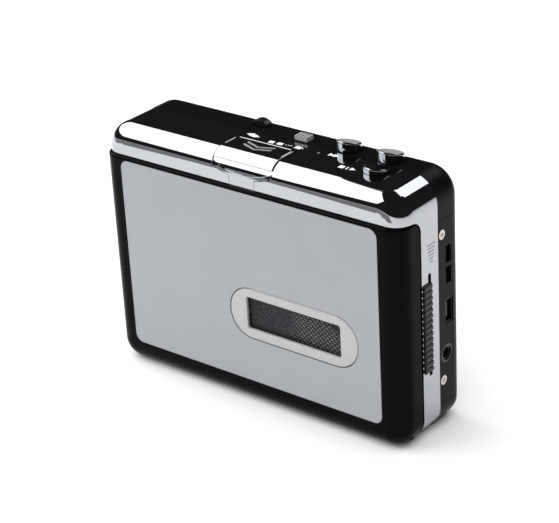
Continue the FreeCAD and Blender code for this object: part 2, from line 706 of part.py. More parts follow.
# ---------------------------------------------------------------- mechanism
def chassis_plate():
    plate = box(-54.4, 54.4, CHASSIS_Y, CHASSIS_BACK, CHASSIS_LOW, CHASSIS_HIGH)
    corner = envelope(CHASSIS_Y, CHASSIS_BACK, WALL + 0.4, 0, 0)
    plate = plate.common(corner)
    ledge = box(37.0, 43.4, -6.4, CHASSIS_Y + 0.4, TAPE_EDGE + 0.4, TAPE_EDGE + 1.2)
    cuts = [box(48.5, 56, -1, 2, CHASSIS_LOW - 1, 57.0)]
    cuts.append(box(20.0, 46.0, -1, 2, 74.2, CHASSIS_HIGH + 1))
    for y, z in SIDE_SCREWS_RIGHT + SIDE_SCREWS_LEFT:
        cuts.append(box(52.0, 56, -1, 2, z - 2.6, z + 2.6))
        cuts.append(box(-56, -52.0, -1, 2, z - 2.6, z + 2.6))
    for x in (-HUB_X, HUB_X):
        cuts.append(rod_y(4.4, x, -1, 2, HUB_Z))
    for x in (-CAPSTAN_X, CAPSTAN_X):
        cuts.append(rod_y(2.22, x, -1, 2, CAPSTAN_Z))
    for x, z in CHASSIS_BOSSES:
        cuts.append(rod_y(1.1, x, -1, 2, z))
    return plate.fuse(ledge).cut(cuts)


def chassis_screws():
    screws = []
    for x, z in CHASSIS_BOSSES:
        head = rod_y(1.9, x, CHASSIS_Y - 0.6, CHASSIS_Y, z)
        shank = rod_y(1.0, x, CHASSIS_Y - 0.1, 7.6, z)
        slot = box(x - 1.2, x + 1.2, CHASSIS_Y - 1, CHASSIS_Y - 0.3, z - 0.2, z + 0.2)
        cross = box(x - 0.2, x + 0.2, CHASSIS_Y - 1, CHASSIS_Y - 0.3, z - 1.2, z + 1.2)
        screws.append(head.fuse(shank).cut([slot, cross]))
    return group(screws)


def head_guide_pins():
    pins = []
    for x in GUIDE_PINS_X:
        shank = rod_y(1.0, x, HEAD_PLATE_Y - 0.2, CHASSIS_Y, GUIDE_PIN_Z)
        head = rod_y(1.7, x, HEAD_PLATE_Y - 0.7, HEAD_PLATE_Y - 0.15, GUIDE_PIN_Z)
        pins.append(shank.fuse(head))
    return group(pins)


def bridge_plate():
    plate = box(-40.0, 40.0, BRIDGE_Y, BRIDGE_BACK, 26.2, 68.0)
    cuts = [rod_y(1.2, 0, 0, 20, MOTOR_Z)]
    for x in (-CAPSTAN_X, CAPSTAN_X):
        cuts.append(rod_y(0.97, x, 0, 20, CAPSTAN_Z))
    for side in (-1, 1):
        cuts.append(slab(min(side * 10, side * 26), max(side * 10, side * 26), 43.0, 52.0, 2.0, 0, 20))
    return plate.cut(cuts)


def bridge_posts():
    posts = []
    for x, z in BRIDGE_POSTS:
        posts.append(rod_y(POST_R, x, CHASSIS_BACK, BRIDGE_Y, z))
    return group(posts)


def reel_posts():
    posts = []
    for x in (-HUB_X, HUB_X):
        posts.append(rod_y(0.8, x, -8.2, BRIDGE_Y, HUB_Z))
    return group(posts)


def reel_table(side):
    """Turning table with a three-spline spindle that drives one hub of the cassette."""
    x = side * HUB_X
    body = [
        rod_y(REEL_R, x, REEL_Y, REEL_BACK, HUB_Z),
        rod_y(3.4, x, REEL_BACK, REEL_BACK + 1.0, HUB_Z),
        rod_y(2.7, x, -7.6, REEL_Y, HUB_Z),
        Part.makeCone(2.7, 1.2, 1.3, V(x, -7.6, HUB_Z), V(0, -1, 0)),
    ]
    for step in range(3):
        fin = box(x - 0.45, x + 0.45, -7.0, -0.4, HUB_Z + 2.0, HUB_Z + 3.8)
        fin.rotate(V(x, 0, HUB_Z), V(0, 1, 0), 120 * step)
        body.append(fin)
    table = fuse(body)
    windows = []
    for step in range(6):
        hole = rod_y(1.1, x + 5.4, REEL_Y - 0.1, REEL_BACK + 0.1, HUB_Z)
        hole.rotate(V(x, 0, HUB_Z), V(0, 1, 0), 60 * step)
        windows.append(hole)
    return table.cut(windows + [rod_y(0.87, x, -8.3, 6, HUB_Z)])


def idler_centre():
    dx = HUB_X - CAPSTAN_X
    dz = HUB_Z - CAPSTAN_Z
    span = math.hypot(dx, dz)
    gap = 0.3
    radius = (span - REEL_R - DRIVE_HUB_R - 2 * gap) / 2
    reach = DRIVE_HUB_R + gap + radius
    return CAPSTAN_X + dx / span * reach, CAPSTAN_Z + dz / span * reach, radius


def idler_wheel():
    """Rubber-tyred wheel that passes the drive from the right flywheel's hub to the take-up reel."""
    x, z, radius = idler_centre()
    wheel = rod_y(radius, x, REEL_Y + 0.1, REEL_BACK - 0.1, z)
    cuts = [rod_y(0.87, x, 0, 9, z)]
    for step in range(5):
        hole = rod_y(1.7, x + 5.2, 0, 9, z)
        hole.rotate(V(x, 0, z), V(0, 1, 0), 72 * step)
        cuts.append(hole)
    return wheel.cut(cuts)


def idler_pin():
    x, z, radius = idler_centre()
    return rod_y(0.8, x, CHASSIS_BACK, FLYWHEEL_Y - 0.3, z)


def flywheel(side):
    x = side * CAPSTAN_X
    rim = rod_y(FLYWHEEL_R, x, FLYWHEEL_Y, FLYWHEEL_BACK, CAPSTAN_Z)
    groove = rod_y(FLYWHEEL_R + 1, x, FLYWHEEL_Y + 0.5, FLYWHEEL_BACK - 0.5, CAPSTAN_Z)
    groove = groove.cut(rod_y(GROOVE_R, x, FLYWHEEL_Y, FLYWHEEL_BACK, CAPSTAN_Z))
    hub = rod_y(DRIVE_HUB_R, x, REEL_BACK - 1.4, FLYWHEEL_Y + 0.1, CAPSTAN_Z)
    disc = rim.cut(groove).fuse(hub)
    cuts = [rod_y(CAPSTAN_R + 0.01, x, 0, 9, CAPSTAN_Z)]
    for step in range(4):
        hole = rod_y(1.3, x + 5.9, 0, 9, CAPSTAN_Z)
        hole.rotate(V(x, 0, CAPSTAN_Z), V(0, 1, 0), 90 * step + 45)
        cuts.append(hole)
    return disc.cut(cuts)


def capstan(side):
    return rod_y(CAPSTAN_R, side * CAPSTAN_X, TAPE_MID - 3.6, BRIDGE_BACK - 0.2, CAPSTAN_Z)


def capstan_bushes():
    bushes = []
    for x in (-CAPSTAN_X, CAPSTAN_X):
        bush = rod_y(2.2, x, CHASSIS_Y, CHASSIS_BACK + 0.5, CAPSTAN_Z)
        bushes.append(bush.cut(rod_y(CAPSTAN_R + 0.05, x, -1, 3, CAPSTAN_Z)))
    return group(bushes)


def motor_body():
    can = rod_y(MOTOR_R, 0, BRIDGE_BACK, MOTOR_BACK, MOTOR_Z)
    can = can.makeFillet(0.8, edges_at(can, MOTOR_BACK))
    return can.cut(rod_y(0.8, 0, BRIDGE_BACK - 1, BRIDGE_BACK + 3, MOTOR_Z))


def motor_pulley():
    shaft = rod_y(0.75, 0, FLYWHEEL_Y, BRIDGE_BACK + 2.6, MOTOR_Z)
    rim = rod_y(PULLEY_R + 0.8, 0, FLYWHEEL_Y, FLYWHEEL_BACK, MOTOR_Z)
    groove = rod_y(PULLEY_R + 2, 0, FLYWHEEL_Y + 0.5, FLYWHEEL_BACK - 0.5, MOTOR_Z)
    groove = groove.cut(rod_y(PULLEY_R, 0, FLYWHEEL_Y, FLYWHEEL_BACK, MOTOR_Z))
    return rim.cut(groove).fuse(shaft)


def belt_loop(grow, y0, y1):
    """Solid bounded by a tight loop round both flywheels and the motor pulley, grown outwards."""
    big = GROOVE_R + BELT_GAP + grow
    small = PULLEY_R + BELT_GAP + grow
    span = math.hypot(CAPSTAN_X, CAPSTAN_Z - MOTOR_Z)
    lean = math.atan2(CAPSTAN_Z - MOTOR_Z, CAPSTAN_X)
    fan = math.asin((big - small) / span)
    side = lean - math.pi / 2 - fan

    def at(x, z, r, angle):
        return (x + r * math.cos(angle), y0, z + r * math.sin(angle))

    def mirrored(p):
        return (-p[0], p[1], p[2])

    top_right = at(CAPSTAN_X, CAPSTAN_Z, big, math.pi / 2)
    low_right = at(CAPSTAN_X, CAPSTAN_Z, big, side)
    mid_right = at(CAPSTAN_X, CAPSTAN_Z, big, (math.pi / 2 + side) / 2)
    pulley_right = at(0, MOTOR_Z, small, side)
    pulley_low = (0, y0, MOTOR_Z - small)
    edges = [
        line(mirrored(top_right), top_right),
        arc(top_right, mid_right, low_right),
        line(low_right, pulley_right),
        arc(pulley_right, pulley_low, mirrored(pulley_right)),
        line(mirrored(pulley_right), mirrored(low_right)),
        arc(mirrored(low_right), mirrored(mid_right), mirrored(top_right)),
    ]
    return Part.Face(Part.Wire(edges)).extrude(V(0, y1 - y0, 0))


def drive_belt():
    y0 = FLYWHEEL_Y + 0.7
    y1 = FLYWHEEL_BACK - 0.7
    return belt_loop(BELT_THICK, y0, y1).cut(belt_loop(0, y0 - 1, y1 + 1))


def head_plate():
    """Sliding plate with slots for its guide pins, the head's bracket and the ear the play key pushes."""
    plate = box(-36.0, 36.0, HEAD_PLATE_Y, CHASSIS_Y - 0.2, 67.6, 77.0)
    shoulder = box(35.0, 38.0, HEAD_PLATE_Y, CHASSIS_Y - 0.2, 72.6, 77.0)
    ear = box(37.0, 43.4, PLAY_STEM[1] - 2.0, CHASSIS_Y - 0.2, EAR_LOW, EAR_TOP)
    bracket = box(-5.0, 5.0, -3.8, HEAD_PLATE_Y + 0.2, 69.5, 74.0)
    cuts = []
    for x in GUIDE_PINS_X:
        cuts.append(box(x - 1.15, x + 1.15, -2, 1, GUIDE_PIN_Z - 1.15, GUIDE_PIN_Z + PLAY_TRAVEL + 1.15))
    for side in (-1, 1):
        cuts.append(rod_y(0.62, side * CAPSTAN_X, -2, 1, PINCH_Z))
    return plate.fuse([shoulder, ear, bracket]).cut(cuts)


def tape_head():
    block = box(-HEAD_HALF, HEAD_HALF, TAPE_MID - 3.2, HEAD_BACK, 68.0, 74.0)
    nose = rod_y(HEAD_HALF, 0, TAPE_MID - 3.2, HEAD_BACK, 72.8)
    nose = nose.common(box(-HEAD_HALF, HEAD_HALF, -20, 0, TAPE_EDGE + 0.4, 70.0))
    return block.fuse(nose).removeSplitter()


def pinch_axles():
    axles = []
    for side in (-1, 1):
        x = side * CAPSTAN_X
        pin = rod_y(0.6, x, TAPE_MID - 3.8, CHASSIS_Y - 0.2, PINCH_Z)
        cap = rod_y(1.2, x, TAPE_MID - 4.2, TAPE_MID - 3.7, PINCH_Z)
        collar = rod_y(1.2, x, -3.6, HEAD_PLATE_Y, PINCH_Z)
        axles.append(pin.fuse([cap, collar]))
    return group(axles)


def pinch_roller(side):
    x = side * CAPSTAN_X
    roller = rod_y(PINCH_R, x, TAPE_MID - 3.5, TAPE_MID + 3.2, PINCH_Z)
    return roller.cut(rod_y(0.66, x, -20, 0, PINCH_Z))


# ---------------------------------------------------------------- electronics
def circuit_board():
    board = box(BOARD_X[0], BOARD_X[1], BOARD_Y, BOARD_BACK, BOARD_Z[0], BOARD_Z[1])
    holes = [rod_y(1.1, BOARD_X[0] + 3.0, 5, 20, z) for z in BOARD_HOLES_Z]
    return board.cut(holes)


def usb_socket():
    y0, y1 = USB_Y
    z0, z1 = USB_Z
    shell = box(48.0, HALF - 0.4, y0, y1 - 0.02, z0, z1)
    mouth = box(50.0, HALF + 1, y0 + 0.3, y1 - 0.35, z0 + 0.3, z1 - 0.3)
    tongue = box(49.9, HALF - 1.2, (y0 + y1) / 2 - 0.35, (y0 + y1) / 2 + 0.35, z0 + 1.4, z1 - 1.4)
    return shell.cut(mouth).fuse(tongue)


def headphone_jack():
    body = box(44.0, HALF - WALL - 0.2, JACK_Y - 3.0, BOARD_Y - 0.02, JACK_Z - 2.3, JACK_Z + 3.2)
    nose = rod_x(2.95, HALF - WALL - 0.4, HALF - 0.15, JACK_Y, JACK_Z)
    rim = rod_x(2.35, HALF - 0.6, HALF + 1, JACK_Y, JACK_Z)
    bore = rod_x(JACK_BORE_R, 45.0, HALF + 1, JACK_Y, JACK_Z)
    return body.fuse(nose).cut([rim, bore])


def control_chip():
    chip = box(CHIP_X[0], CHIP_X[1], BOARD_Y - 1.3, BOARD_Y - 0.1, CHIP_Z[0], CHIP_Z[1])
    legs = [chip]
    for step in range(8):
        z = CHIP_Z[0] + 0.9 + step * CHIP_PITCH
        legs.append(box(CHIP_X[0] - 0.8, CHIP_X[1] + 0.8, BOARD_Y - 0.5, BOARD_Y, z, z + 0.4))
    return fuse(legs)


def capacitors():
    cans = []
    for x, z in CAPACITORS:
        can = rod_y(CAPACITOR_R, x, BOARD_Y - 3.0, BOARD_Y - 0.02, z)
        cans.append(can.makeFillet(0.3, edges_at(can, BOARD_Y - 3.0)))
    return group(cans)


def switch_board():
    """Carries the slide switches and the key contacts under the roof."""
    return box(-20.0, 47.0, CHASSIS_BACK, 12.0, SWITCH_BOARD_Z, SWITCH_BOARD_TOP)


def slide_switches():
    mode = box(MODE_X - 4.5, MODE_X + 6.0, MODE_Y - 2.4, MODE_Y + 2.4, SWITCH_BOARD_TOP, SWITCH_TOP)
    knob = box(KNOB_X - 6.0, KNOB_X + 4.0, KNOB_Y - 2.4, KNOB_Y + 2.4, SWITCH_BOARD_TOP, SWITCH_TOP)
    return group([mode, knob])


def key_contacts():
    discs = []
    for x, y in (STOP_STEM, FORWARD_STEM):
        discs.append(rod_z(1.7, x, y, SWITCH_BOARD_TOP, SWITCH_BOARD_TOP + 0.3))
    return group(discs)


def volume_track():
    track = box(50.6, 54.5, -3.6, 1.6, 21.2, 55.0)
    groove = box(53.4, 56, SLIT_Y[0], SLIT_Y[1], 26.0, 48.0)
    return track.cut(groove)


# ---------------------------------------------------------------- controls
def key_cap(cap, top, slope):
    """Round cap whose top slopes down to the back, with a softened rim."""
    x, y, r = cap
    body = rod_z(r, x, y, FLANGE_TOP - 0.5, top + 1)
    waste = box(x - r - 1, x + r + 1, y - r - 2, y + r + 3, top, top + 6)
    waste.rotate(V(x, y - r, top), V(1, 0, 0), -slope)
    body = body.cut(waste)
    rim = [edge for edge in body.Edges if edge.BoundBox.ZMin > FLANGE_TOP + 0.5]
    return body.makeFillet(KEY_RIM, rim)


def push_key(cap, stem, top, slope, stem_low):
    """Cap with a retaining flange, joined under the roof to the stem that carries the spring."""
    x, y, r = cap
    flange = rod_z(r + FLANGE_OUT, x, y, FLANGE_LOW, FLANGE_TOP)
    seat = rod_z(SEAT_R, stem[0], stem[1], FLANGE_LOW, FLANGE_TOP)
    shaft = rod_z(STEM_R, stem[0], stem[1], stem_low, FLANGE_LOW + 0.1)
    return key_cap(cap, top, slope).fuse([flange, seat, shaft]).removeSplitter()


def key_spring(stem):
    return coil_spring(stem[0], stem[1], SWITCH_BOARD_TOP + 0.02, FLANGE_LOW - 0.02,
                       KEY_COIL_R, COIL_WIRE_R, 5)


def head_return_spring():
    return coil_spring(PLAY_STEM[0], PLAY_STEM[1] + 0.6, TAPE_EDGE + 1.22, EAR_LOW - 0.02,
                       RETURN_COIL_R, COIL_WIRE_R, 4)


def mode_slider():
    dome_low = HEIGHT + SLIDE_LIFT
    half = 2.95
    dome = Part.makeCylinder(4.2, 3.0, V(MODE_X, MODE_Y - 1.5, HEIGHT - 2.2), V(0, 1, 0))
    dome = dome.common(box(MODE_X - half, MODE_X + half, MODE_Y - 1.5, MODE_Y + 1.5, dome_low, HEIGHT + 3))
    stem = box(MODE_X - 1.3, MODE_X + 1.3, MODE_Y - SLIDE_STEM, MODE_Y + SLIDE_STEM,
               ROOF - 0.6, dome_low + 0.2)
    foot = box(MODE_X - 3.4, MODE_X + 3.4, MODE_Y - 1.5, MODE_Y + 1.5, ROOF - 1.2, ROOF - 0.2)
    return dome.fuse([stem, foot])


def track_knob():
    low = HEIGHT + SLIDE_LIFT
    base = box(KNOB_X - 2.35, KNOB_X + 2.35, KNOB_Y - 1.7, KNOB_Y + 1.7, low, low + 0.8)
    ribs = [base]
    for step in range(4):
        x = KNOB_X - 2.35 + 0.1 + step * 1.24
        ribs.append(box(x, x + 0.78, KNOB_Y - 1.7, KNOB_Y + 1.7, low + 0.7, low + 1.4))
    stem = box(KNOB_X - 1.2, KNOB_X + 1.2, KNOB_Y - SLIDE_STEM, KNOB_Y + SLIDE_STEM, ROOF - 0.6, low + 0.2)
    foot = box(KNOB_X - 2.8, KNOB_X + 2.8, KNOB_Y - 1.5, KNOB_Y + 1.5, ROOF - 1.2, ROOF - 0.2)
    return fuse(ribs + [stem, foot])


def volume_slider():
    """Ribbed thumb bar outside the frame, on a tongue through the slit that moves the wiper."""
    low, high = BAR_Z
    y0, y1 = BAR_Y
    x0 = HALF + 0.08
    bar = box(x0, HALF + BAR_OUT - 0.25, y0, y1, low, high)
    pitch = (high - low) / RIB_COUNT
    ribs = [bar]
    for step in range(RIB_COUNT):
        z = low + step * pitch + 0.15 * pitch
        ribs.append(box(x0, HALF + BAR_OUT, y0, y1, z, z + 0.62 * pitch))
    tongue = box(HALF - 2.9, x0 + 0.1, SLIT_Y[0] + 0.2, SLIT_Y[1] - 0.2, 31.0, 42.0)
    return fuse(ribs + [tongue])


# ---------------------------------------------------------------- assembly
def collect():
    parts["rear_shell"] = rear_shell()
    parts["chrome_frame"] = chrome_frame()
    parts["case_screws"] = case_screws()
    parts["battery_tray"] = battery_tray()
    parts["battery_cell_left"] = battery_cell(0)
    parts["battery_cell_right"] = battery_cell(1)
    parts["battery_contact_spring"] = contact_spring()
    parts["battery_contact_plate"] = contact_plate()
    parts["battery_cover"] = battery_cover()
    parts["cassette_door"] = cassette_door()
    parts["front_plate"] = front_plate()
    parts["window_bezel"] = window_bezel()
    parts["window_pane"] = window_pane()
    parts["window_screen"] = window_screen()
    parts["pull_tab"] = pull_tab()
    parts["cassette_guide_left"] = cassette_guide(-1)
    parts["cassette_guide_right"] = cassette_guide(1)
    parts["cassette_springs"] = cassette_springs()
    parts["hinge_pins"] = hinge_pins()
    parts["chassis_plate"] = chassis_plate()
    parts["chassis_screws"] = chassis_screws()
    parts["head_guide_pins"] = head_guide_pins()
    parts["bridge_plate"] = bridge_plate()
    parts["bridge_posts"] = bridge_posts()
    parts["reel_posts"] = reel_posts()
    parts["reel_table_left"] = reel_table(-1)
    parts["reel_table_right"] = reel_table(1)
    parts["idler_wheel"] = idler_wheel()
    parts["idler_pin"] = idler_pin()
    parts["flywheel_left"] = flywheel(-1)
    parts["flywheel_right"] = flywheel(1)
    parts["capstan_left"] = capstan(-1)
    parts["capstan_right"] = capstan(1)
    parts["capstan_bushes"] = capstan_bushes()
    parts["motor_body"] = motor_body()
    parts["motor_pulley"] = motor_pulley()
    parts["drive_belt"] = drive_belt()
    parts["head_plate"] = head_plate()
    parts["tape_head"] = tape_head()
    parts["pinch_axles"] = pinch_axles()
    parts["pinch_roller_left"] = pinch_roller(-1)
    parts["pinch_roller_right"] = pinch_roller(1)
    parts["circuit_board"] = circuit_board()
    parts["usb_socket"] = usb_socket()
    parts["headphone_jack"] = headphone_jack()
    parts["control_chip"] = control_chip()
    parts["capacitors"] = capacitors()
    parts["switch_board"] = switch_board()
    parts["slide_switches"] = slide_switches()
    parts["key_contacts"] = key_contacts()
    parts["volume_track"] = volume_track()
    parts["stop_button"] = push_key(STOP, STOP_STEM, TALL_TOP, TALL_SLOPE, TALL_STEM_LOW)
    parts["forward_button"] = push_key(FORWARD, FORWARD_STEM, TALL_TOP, TALL_SLOPE, TALL_STEM_LOW)
    parts["play_button"] = push_key(PLAY, PLAY_STEM, PLAY_TOP, PLAY_SLOPE, EAR_TOP + 0.02)
    parts["stop_button_spring"] = key_spring(STOP_STEM)
    parts["forward_button_spring"] = key_spring(FORWARD_STEM)
    parts["head_return_spring"] = head_return_spring()
    parts["mode_slider"] = mode_slider()
    parts["track_knob"] = track_knob()
    parts["volume_slider"] = volume_slider()


def write_all():
    os.makedirs("parts", exist_ok=True)
    for name, shape in parts.items():
        shape.exportStep("parts/" + name + ".step")
        print(name, "valid", shape.isValid(), "solids", len(shape.Solids), "volume", round(shape.Volume, 2))


collect()
write_all()
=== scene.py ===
"""Finishes, printed marks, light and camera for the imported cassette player. Metres throughout."""

import json
import math

import bpy
from mathutils import Matrix, Vector


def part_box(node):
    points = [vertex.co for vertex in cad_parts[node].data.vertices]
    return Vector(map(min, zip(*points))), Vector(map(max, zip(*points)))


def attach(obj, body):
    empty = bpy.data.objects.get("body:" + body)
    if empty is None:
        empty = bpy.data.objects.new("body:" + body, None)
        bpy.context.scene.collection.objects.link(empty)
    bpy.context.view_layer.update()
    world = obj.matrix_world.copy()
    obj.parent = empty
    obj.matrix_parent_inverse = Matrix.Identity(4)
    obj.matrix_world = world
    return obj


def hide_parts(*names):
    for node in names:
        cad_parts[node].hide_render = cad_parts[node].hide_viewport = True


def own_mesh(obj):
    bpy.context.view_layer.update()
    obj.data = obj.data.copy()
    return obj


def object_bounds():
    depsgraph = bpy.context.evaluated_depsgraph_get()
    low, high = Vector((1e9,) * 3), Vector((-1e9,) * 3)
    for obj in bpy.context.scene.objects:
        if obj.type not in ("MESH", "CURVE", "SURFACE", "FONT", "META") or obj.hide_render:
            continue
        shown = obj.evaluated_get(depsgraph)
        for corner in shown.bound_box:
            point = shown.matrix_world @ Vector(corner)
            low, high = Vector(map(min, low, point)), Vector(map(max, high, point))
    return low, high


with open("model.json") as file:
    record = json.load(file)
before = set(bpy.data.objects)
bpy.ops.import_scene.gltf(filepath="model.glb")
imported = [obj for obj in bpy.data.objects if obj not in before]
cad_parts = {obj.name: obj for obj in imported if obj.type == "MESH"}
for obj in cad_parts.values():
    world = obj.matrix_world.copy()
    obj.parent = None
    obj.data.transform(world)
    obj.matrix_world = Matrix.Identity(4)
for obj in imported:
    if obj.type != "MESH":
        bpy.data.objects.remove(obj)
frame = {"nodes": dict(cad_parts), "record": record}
cad_low, cad_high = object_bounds()

# camera: where it stands round the object, how far, and how long its lens is
CAMERA_AZIMUTH = 39.56
CAMERA_ELEVATION = 25.98
CAMERA_ROLL = -3.19
CAMERA_DISTANCE = 0.5868
CAMERA_TARGET = Vector((0.0, 0.0, 0.041))
CAMERA_SLIDE = (0.00003, 0.00135)
CAMERA_LENS = 122.96
SENSOR = 36.0

# wear, shared by every finish: sizes in metres
NOISE_LOW, NOISE_HIGH = 0.3, 0.7        # what nearly all of a noise lies between
SMUDGE = 0.014
HAIR_WIDTH = 0.0003
HAIR_STRETCH = 0.02
HAIR_TURNS = (0.35, -0.9)
HAIR_LOW, HAIR_HIGH = 0.69, 0.72
SPECK_PITCH = 0.0021
SPECK_CORE, SPECK_EDGE = 0.03, 0.05
DUST_PATCH = 0.011
DUST_LOW, DUST_HIGH = 0.55, 0.7
DUST_COLOR = (0.55, 0.53, 0.5, 1.0)
DUST_ROUGH = 0.5

# stitches of the screen behind the window, with painted light on them that fades out to the left
STITCH_PITCH = 0.00175
STITCH_ROW = 0.0008
STITCH_SLANT = 0.5
STITCH_LONG = 1.25
STITCH_THIN = 1.5
STITCH_CORE, STITCH_EDGE = 0.08, 0.2
PAINTED_LIGHT_FROM, PAINTED_LIGHT_TO = 0.42, 0.56         # shares of the window's width where the painted light on the stitches rises from none to full
RAGGED = 0.006
CORNER_SLOPE = 0.55
CORNER_FROM = 0.62
CORNER_FADE = 0.0025
CORNER_LEFT = 0.08

# edges and springs of the CAD nodes
SOFT_ANGLE = 40.0
WELD_WITHIN = 0.000001
EDGE_WIDTHS = {"window_bezel": 0.0003, "track_knob": 0.0002, "mode_slider": 0.0003,
               "volume_slider": 0.0001, "front_plate": 0.00015}
TALL_TRAVEL = 0.0025
PLAY_TRAVEL = 0.004

# painted signs: an arrow is x, y, size and direction, a bar is x from, x to, y from, y to, a dot is x, y
MARK_THICK = 0.00004
DISC_SIDES = 20
MODE_ARROWS = ((-0.0099, 0.0016, 0.0024, -1), (-0.0068, 0.0012, 0.002, 1))
MODE_BAR = (-0.0085, -0.0077, 0.0005, 0.0022)
TRACK_BARS = ((-0.0014, 0.0005, -0.0006, 0.0009), (0.0016, 0.0036, -0.0004, 0.0011),
              (0.0079, 0.0101, 0.0, 0.0017))
TRACK_DOTS = ((0.0047, 0.0006), (0.0056, 0.0008), (0.0065, 0.0009), (0.0107, 0.0009))
DOT_RADIUS = 0.00022
LONE_DOT = (0.0166, 0.0008)
LONE_DOT_RADIUS = 0.0004
FORWARD_ARROWS = ((0.0209, 0.0016, 0.0019, 1), (0.0225, 0.0016, 0.0019, 1))
KEY_BARS = ((0.0277, 0.0294, -0.0048, -0.0031), (0.0303, 0.0307, -0.0048, -0.0031))
KEY_ARROW = (0.0325, -0.0038, 0.0018, 1)

# volume wedge on the right side: ticks that get longer on the way up
RIGHT_FACE = 0.0565
TICKS = 6
TICK_BASE = 0.0572
TICK_PITCH = 0.0011
TICK_TALL = 0.0003
TICK_HALF = 0.0006
TICK_GROWTH = 0.0003

# raised chevrons on the pull tab, coloured as a painted glint, and painted highlights: bright strips along
# its edges
CHEVRON_BACK = -0.0036
CHEVRON_PITCH = 0.0019
CHEVRON_HALF = 0.0052
CHEVRON_REACH = 0.0019
CHEVRON_STROKE = 0.0006
CHEVRON_RISE = 0.00012
# where the painted highlight strips along the tab's edges start and end
HIGHLIGHT_CORNER = 0.0014
HIGHLIGHT_LONG = 0.0062
HIGHLIGHT_BACK_NEAR, HIGHLIGHT_BACK_FAR = 0.0003, 0.0006
HIGHLIGHT_SIDE_NEAR, HIGHLIGHT_SIDE_FAR = 0.0004, 0.0006

# stage
FLOOR_DROP = 0.00002
FLOOR_SIDE = 12.0
CARD_RISE = 0.001
CARD_PLACE = (-0.4, -0.65)
CARD_SIZE = (1.0, 0.9)
STAGE_ROUGH = 0.9
STAGE_SPECULAR = 0.1
WORLD_STRENGTH = 0.02


# ------------------------------------------------------------------ node graphs
class Graph:
    """A material's node tree with short calls for the nodes used here."""

    # colour sockets of the mix node
    MIX_SHARE, MIX_A, MIX_B, MIX_RESULT = 0, 6, 7, 2

    def __init__(self, name):
        self.material = bpy.data.materials.new(name)
        self.material.use_nodes = True
        self.tree = self.material.node_tree
        self.tree.nodes.clear()
        out = self.tree.nodes.new("ShaderNodeOutputMaterial")
        self.shader = self.tree.nodes.new("ShaderNodeBsdfPrincipled")
        self.tree.links.new(self.shader.outputs[0], out.inputs["Surface"])
        self.coord = self.tree.nodes.new("ShaderNodeTexCoord").outputs["Object"]

    def link(self, source, target):
        self.tree.links.new(source, target)

    def put(self, node, key, value):
        socket = node.inputs[key]
        if isinstance(value, bpy.types.NodeSocket):
            self.link(value, socket)
        else:
            socket.default_value = value

    def math(self, operation, a, b=0.0):
        node = self.tree.nodes.new("ShaderNodeMath")
        node.operation = operation
        self.put(node, 0, a)
        self.put(node, 1, b)
        return node.outputs[0]

    def stretch(self, scale, turn=(0.0, 0.0, 0.0)):
        node = self.tree.nodes.new("ShaderNodeMapping")
        self.link(self.coord, node.inputs["Vector"])
        node.inputs["Scale"].default_value = scale
        node.inputs["Rotation"].default_value = turn
        return node.outputs[0]

    def noise(self, feature, detail, vector=None):
        """Noise whose blobs are about feature metres across."""
        node = self.tree.nodes.new("ShaderNodeTexNoise")
        self.link(vector or self.coord, node.inputs["Vector"])
        node.inputs["Scale"].default_value = 1.0 / feature
        node.inputs["Detail"].default_value = detail
        return node.outputs[0]

    def cells(self, feature):
        """Distance to the nearest of a scatter of points about feature metres apart."""
        node = self.tree.nodes.new("ShaderNodeTexVoronoi")
        self.link(self.coord, node.inputs["Vector"])
        node.inputs["Scale"].default_value = 1.0 / feature
        return node.outputs["Distance"]

    def remap(self, value, low, high, to_low, to_high):
        node = self.tree.nodes.new("ShaderNodeMapRange")
        for key, number in (("From Min", low), ("From Max", high), ("To Min", to_low), ("To Max", to_high)):
            node.inputs[key].default_value = number
        self.link(value, node.inputs["Value"])
        return node.outputs["Result"]

    def mix(self, share, a, b):
        node = self.tree.nodes.new("ShaderNodeMix")
        node.data_type = "RGBA"
        self.put(node, self.MIX_SHARE, share)
        self.put(node, self.MIX_A, a)
        self.put(node, self.MIX_B, b)
        return node.outputs[self.MIX_RESULT]

    def bump(self, height, depth, strength=1.0):
        node = self.tree.nodes.new("ShaderNodeBump")
        node.inputs["Distance"].default_value = depth
        node.inputs["Strength"].default_value = strength
        self.link(height, node.inputs["Height"])
        return node.outputs[0]


def rgba(color, scale=1.0):
    return tuple(min(1.0, c * scale) for c in color[:3]) + (1.0,)


